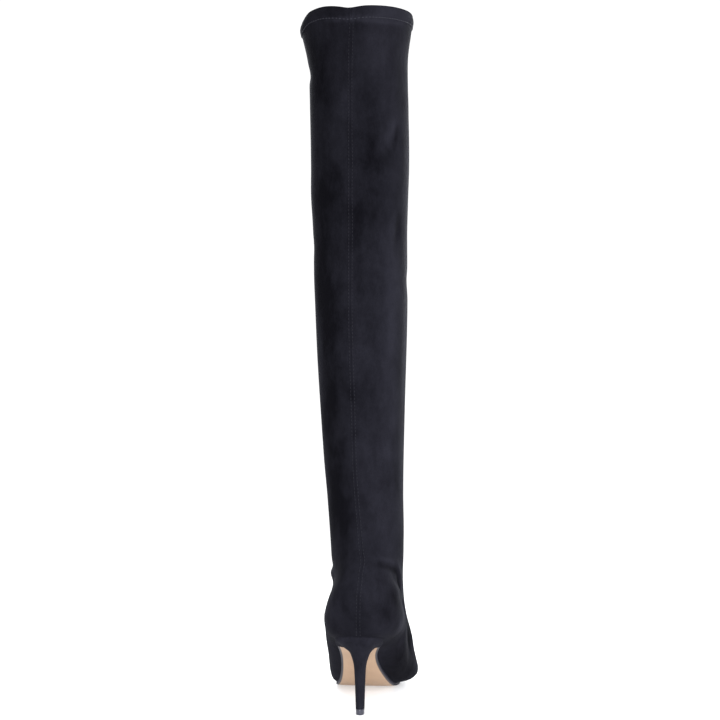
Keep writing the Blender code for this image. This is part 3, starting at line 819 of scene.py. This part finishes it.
class StudioSizes(bpy.types.PropertyGroup):
    """Where the camera stands, and how wide the floor is."""
    distance: length("Distance", "Camera to the heel's tip", 1.6)
    height: length("Height", "Camera above the floor", 0.3545)
    azimuth: bpy.props.FloatProperty(name="Azimuth", description="Camera round to the boot's inner side",
                                     default=math.radians(5.5), subtype="ANGLE")
    lens: bpy.props.FloatProperty(name="Lens", description="Focal length on a 36 mm sensor", default=80.0,
                                  unit="CAMERA")
    floor: length("Floor", "Width of the floor", 30.0)


def skin_columns(wall, sizes):
    """Places round the wall: close together over the seam and wider elsewhere."""
    reach = (sizes.seam_width / 2 + 2 * sizes.seam_slope) / wall.stretch(wall.climbs).min()
    fine = np.linspace(-reach, reach, SEAM_COLUMNS)
    middle = SEAM_COLUMNS // 2
    plain = np.linspace(reach, wall.girth - reach, int((wall.girth - 2 * reach) / sizes.grid_step) + 1)
    return np.concatenate([fine[middle:], plain[1:-1], wall.girth + fine[:middle + 1]])


class BOOT_OT_suede(bpy.types.Operator):
    """Make the suede skin of foot and leg, with its seam, hem and folds"""
    bl_idname = "boot.suede"
    bl_label = "Suede skin"

    def execute(self, context):
        sizes, colours = context.scene.boot_sizes, context.scene.boot_colours
        wall = Wall()
        rounds = skin_columns(wall, sizes)
        hem_foot = wall.rim - sizes.hem_depth
        thickness = wall.thickness + sizes.hem_step
        bend = thickness / 2
        body = np.arange(0.0, hem_foot - 3 * sizes.seam_slope, sizes.grid_step)
        hem = np.linspace(body[-1], wall.rim - bend, HEM_ROWS)[1:]
        climbs = np.concatenate([body, hem])
        base = wall.at(climbs, rounds)
        normals = wall.normals(climbs, rounds)
        rise = wrap_relief(wall, sizes, climbs, rounds) + fold_rise(wall, sizes, base)
        outside = base + normals * rise[:, :, None]
        over = []
        centre = outside[-1] - normals[-1] * bend
        for turn in np.linspace(0.0, math.pi, TURN_ROWS)[1:]:
            outwards, upwards = bend * math.cos(turn), bend * math.sin(turn)
            over.append(centre + normals[-1] * outwards + (0.0, 0.0, upwards))
        inside_climbs = np.linspace(wall.rim - bend, wall.rim - sizes.hem_inside, INSIDE_ROWS)[1:]
        inside = [wall.at([climb], rounds)[0] - wall.normals([climb], rounds)[0] * wall.thickness
                  for climb in inside_climbs]
        # The suede's lower edge hangs over the sole's top edge and turns in under the foot.
        level = normals[0] * (1, 1, 0)
        lap = outside[0] - level * sizes.tuck / 10 - (0.0, 0.0, sizes.lap)
        under = outside[0] - level * sizes.tuck - (0.0, 0.0, sizes.lap / 2)
        # Tones of brushed nap and of painted highlights and shade on the folds, hem, counter, forefoot and
        # outer side.
        nap_and_light_tones = np.clip(streaked(wall, base, NAP_AND_PAINTED_LIGHT), -1.0, 1.0)
        turned = np.repeat(nap_and_light_tones[-1:], len(over) + len(inside), axis=0)
        skin = wrapped("suede_skin", np.concatenate([[under, lap], outside, over, inside]),
                       np.concatenate([nap_and_light_tones[:1], nap_and_light_tones[:1], nap_and_light_tones, turned]))
        skin.data.materials.append(suede("black_suede", colours))
        finished(skin, "stretch_suede", "upper", "shaft")
        return {"FINISHED"}


class BOOT_OT_lining(bpy.types.Operator):
    """Make the lining inside the leg and foot"""
    bl_idname = "boot.lining"
    bl_label = "Lining"

    def execute(self, context):
        sizes = context.scene.boot_sizes
        wall = Wall()
        climbs = np.linspace(LINING_START, wall.rim - sizes.hem_inside + LINING_LAP, LINING_ROWS)
        rounds = np.linspace(0.0, wall.girth, LINING_COLUMNS)
        in_the_leg = ramp(climbs, wall.join - JOIN_BLEND, wall.join + JOIN_BLEND)
        thickness = wall.foot_thickness + (wall.thickness - wall.foot_thickness) * in_the_leg
        depth = (thickness - LINING_LIFT)[:, None]
        base, normals = wall.at(climbs, rounds), wall.normals(climbs, rounds)
        places = base + normals * (fold_rise(wall, sizes, base) - depth)[:, :, None]
        lining = wrapped("leg_lining", places[:, ::-1])
        lining.data.materials.append(lining_cloth(context.scene.boot_colours))
        finished(lining, "insole_lining")
        return {"FINISHED"}


class BOOT_OT_stitches(bpy.types.Operator):
    """Make the two stitched rows of the back seam and the hem's stitched row"""
    bl_idname = "boot.stitches"
    bl_label = "Stitches"

    def execute(self, context):
        sizes = context.scene.boot_sizes
        wall = Wall()
        colours = context.scene.boot_colours
        pitch = sizes.stitch_length + sizes.stitch_gap
        fine = np.linspace(FIRST_STITCH, wall.rim - sizes.hem_depth - LAST_STITCH, CLIMBS_TRIED)
        along = np.linalg.norm(np.diff(wall.at(fine, [0.0])[:, 0], axis=0), axis=1)
        travelled = np.concatenate([[0.0], np.cumsum(along)])
        seam_climbs = np.interp(np.arange(0.0, travelled[-1], pitch), travelled, fine)
        count = int(wall.girth / pitch)
        hem_climb = wall.rim - sizes.hem_depth + sizes.hem_row
        half = sizes.row_spacing / 2
        stretches = wall.stretch(seam_climbs)
        seam = [(climb, side * half / stretch)
                for climb, stretch in zip(seam_climbs, stretches) for side in (-1, 1)]
        hem = [(hem_climb, wall.girth * number / count) for number in range(count)]
        # The hem's stitches get a paler thread than the seam's.
        for name, spots, upwards, thickness, made in (
                ("seam_stitches", seam, True, sizes.thread, thread("black_thread", colours)),
                ("hem_stitches", hem, False, sizes.hem_thread,
                 thread("pale_black_thread", colours, HEM_THREAD_SHADE))):
            piece = self.row(name, wall, sizes, spots, upwards, thickness)
            piece.data.materials.append(made)
            finished(piece, "stretch_suede")
        return {"FINISHED"}

    def row(self, name, wall, sizes, spots, upwards, thickness):
        """Stitches at spots of one climb and round each, laid up the wall or round it."""
        up, aside = (STITCH_REACH, 0.0) if upwards else (0.0, STITCH_REACH)
        places, aheads, outs = [], [], []
        for climb, round_ in spots:
            base, out = wall.at([climb], [round_]), wall.normals([climb], [round_])[0, 0]
            rise = wrap_relief(wall, sizes, [climb], [round_]) + fold_rise(wall, sizes, base)
            ahead = (wall.at([climb + up], [round_ + aside]) - wall.at([climb - up], [round_ - aside]))[0, 0]
            places.append(base[0, 0] + out * (rise[0, 0] + thickness * STITCH_LIFT))
            aheads.append(ahead / np.linalg.norm(ahead))
            outs.append(out)
        return stitched(name, np.array(places), np.array(aheads), np.array(outs), sizes.stitch_length,
                        thickness)


class BOOT_OT_outsole(bpy.types.Operator):
    """Make the leather outsole with its painted edge"""
    bl_idname = "boot.outsole"
    bl_label = "Outsole"

    def execute(self, context):
        sizes, colours = context.scene.boot_sizes, context.scene.boot_colours
        sole = smoothed(copied("outsole", "leather_outsole"), SOLE_FOLD, sizes.edge_radius)
        sole.data.materials.append(sole_leather(colours, sizes.margin))
        sole.data.materials.append(edge_paint(colours))
        rim = set()
        for face in sole.data.polygons:
            face.material_index = int(abs(face.normal.z) < SIDE_FACE and face.normal.y > BREAST_FACE)
            if face.material_index:
                rim.update(face.vertices)
        edge = KDTree(len(rim))
        for index in rim:
            edge.insert(sole.data.vertices[index].co, index)
        edge.balance()
        reach = [edge.find(v.co)[2] for v in sole.data.vertices]
        sole.data.attributes.new("from_edge", "FLOAT", "POINT").data.foreach_set("value", reach)
        finished(sole, "sole_leather", "outsole")
        return {"FINISHED"}


class BOOT_OT_sock(bpy.types.Operator):
    """Make the sock that covers the insole"""
    bl_idname = "boot.sock"
    bl_label = "Sock"

    def execute(self, context):
        sizes = context.scene.boot_sizes
        sock = smoothed(copied("insole", "insole_sock"), SOCK_FOLD, sizes.edge_radius)
        sock.data.materials.append(sock_leather(context.scene.boot_colours))
        finished(sock, "insole_lining", "insole")
        return {"FINISHED"}


class BOOT_OT_heel(bpy.types.Operator):
    """Make the suede-covered heel"""
    bl_idname = "boot.heel"
    bl_label = "Heel"

    def execute(self, context):
        sizes = context.scene.boot_sizes
        heel = smoothed(copied("heel", "covered_heel"), HEEL_FOLD, sizes.edge_radius)
        points = np.array([v.co for v in heel.data.vertices])
        below = SEAT_EDGE + SEAT_SLOPE * points[:, 1] - points[:, 2]
        aside = points[:, 0] - (points[:, 0].min() + points[:, 0].max()) / 2
        under_the_seat = ramp(below, -SEAT_BLEND, 0.0) * (1 - ramp(below, *CORNER_FADE))
        points[:, 0] += np.sign(aside) * sizes.flare / 2 * bell(below - FLANK[0], FLANK[1])
        points[:, 2] -= sizes.flare * under_the_seat * bell(np.abs(aside) - CORNER[0], CORNER[1])
        heel.data.vertices.foreach_set("co", points.astype(np.float32).ravel())
        heel.data.materials.append(suede("black_heel_suede", context.scene.boot_colours, HEEL_SHADE))
        finished(heel, "heel_cover", "heel")
        return {"FINISHED"}


class BOOT_OT_top_piece(bpy.types.Operator):
    """Make the hard top piece under the heel"""
    bl_idname = "boot.top_piece"
    bl_label = "Top piece"

    def execute(self, context):
        sizes = context.scene.boot_sizes
        lift = smoothed(copied("top_piece", "heel_top_piece"), HEEL_FOLD, sizes.edge_radius)
        lift.data.materials.append(lift_plastic(context.scene.boot_colours))
        finished(lift, "top_piece_rubber", "top_piece")
        return {"FINISHED"}


def area_light(name, place, aim, size, power, spread):
    """A soft square lamp, turned towards a point, its light kept within a spread in degrees."""
    lamp = bpy.data.lights.new(name, "AREA")
    lamp.shape = "SQUARE"
    lamp.size = size
    lamp.energy = power
    lamp.spread = math.radians(spread)
    lamp.color = LAMP_TINT
    made = bpy.data.objects.new(name, lamp)
    bpy.context.scene.collection.objects.link(made)
    made.location = place
    made.rotation_euler = (Vector(aim) - Vector(place)).to_track_quat("-Z", "Y").to_euler()


class BOOT_OT_stage(bpy.types.Operator):
    """Make the pale floor, the soft lights and the camera"""
    bl_idname = "boot.stage"
    bl_label = "Stage"

    def execute(self, context):
        scene, studio = context.scene, context.scene.boot_studio
        bpy.ops.object.select_all(action="DESELECT")
        bpy.ops.mesh.primitive_plane_add(size=studio.floor)
        floor = context.active_object
        floor.name = floor.data.name = "floor"
        white, shader = material("pale_floor", 0.6)
        shader.inputs["Base Color"].default_value = (FLOOR_GREY, FLOOR_GREY, FLOOR_GREY, 1.0)
        shader.inputs["Emission Color"].default_value = (1.0, 1.0, 1.0, 1.0)
        shader.inputs["Emission Strength"].default_value = FLOOR_GLOW
        shader.inputs["Specular IOR Level"].default_value = 0.2
        floor.data.materials.append(white)
        scene.world = bpy.data.worlds.new("pale_room")
        scene.world.use_nodes = True
        room = scene.world.node_tree.nodes["Background"]
        room.inputs["Color"].default_value = (1.0, 1.0, 1.0, 1.0)
        room.inputs["Strength"].default_value = ROOM_GLOW
        for lamp in LAMPS:
            area_light(*lamp)
        camera = bpy.data.objects.new("camera", bpy.data.cameras.new("camera"))
        scene.collection.objects.link(camera)
        camera.data.lens = studio.lens
        camera.location = (studio.distance * math.sin(studio.azimuth),
                           -studio.distance * math.cos(studio.azimuth), studio.height)
        camera.rotation_euler = (math.pi / 2, 0.0, studio.azimuth)
        scene.camera = camera
        scene.view_settings.view_transform = "Standard"
        return {"FINISHED"}


OPERATORS = (BOOT_OT_suede, BOOT_OT_lining, BOOT_OT_stitches, BOOT_OT_outsole, BOOT_OT_sock, BOOT_OT_heel,
             BOOT_OT_top_piece, BOOT_OT_stage)


class VIEW3D_PT_boot(bpy.types.Panel):
    """The boot's pieces, sizes and colours in the sidebar."""
    bl_label = "Thigh high boot"
    bl_idname = "VIEW3D_PT_boot"
    bl_space_type = "VIEW_3D"
    bl_region_type = "UI"
    bl_category = "Boot"

    def draw(self, context):
        for operator in OPERATORS:
            self.layout.operator(operator.bl_idname)
        for group in (context.scene.boot_sizes, context.scene.boot_colours, context.scene.boot_studio):
            box = self.layout.box()
            for name in group.__annotations__:
                box.prop(group, name)


CLASSES = (BootSizes, BootColours, StudioSizes, *OPERATORS, VIEW3D_PT_boot)


def register():
    """Make the operators, the panel and the scene's settings known to Blender."""
    for one in CLASSES:
        bpy.utils.register_class(one)
    bpy.types.Scene.boot_sizes = bpy.props.PointerProperty(type=BootSizes)
    bpy.types.Scene.boot_colours = bpy.props.PointerProperty(type=BootColours)
    bpy.types.Scene.boot_studio = bpy.props.PointerProperty(type=StudioSizes)


def unregister():
    """Take them out again."""
    del bpy.types.Scene.boot_sizes
    del bpy.types.Scene.boot_colours
    del bpy.types.Scene.boot_studio
    for one in reversed(CLASSES):
        bpy.utils.unregister_class(one)


def main():
    """Make every piece and the stage."""
    register()
    bpy.ops.boot.suede()
    bpy.ops.boot.lining()
    bpy.ops.boot.stitches()
    bpy.ops.boot.outsole()
    bpy.ops.boot.sock()
    bpy.ops.boot.heel()
    bpy.ops.boot.top_piece()
    bpy.ops.boot.stage()


if __name__ == "__main__":
    main()
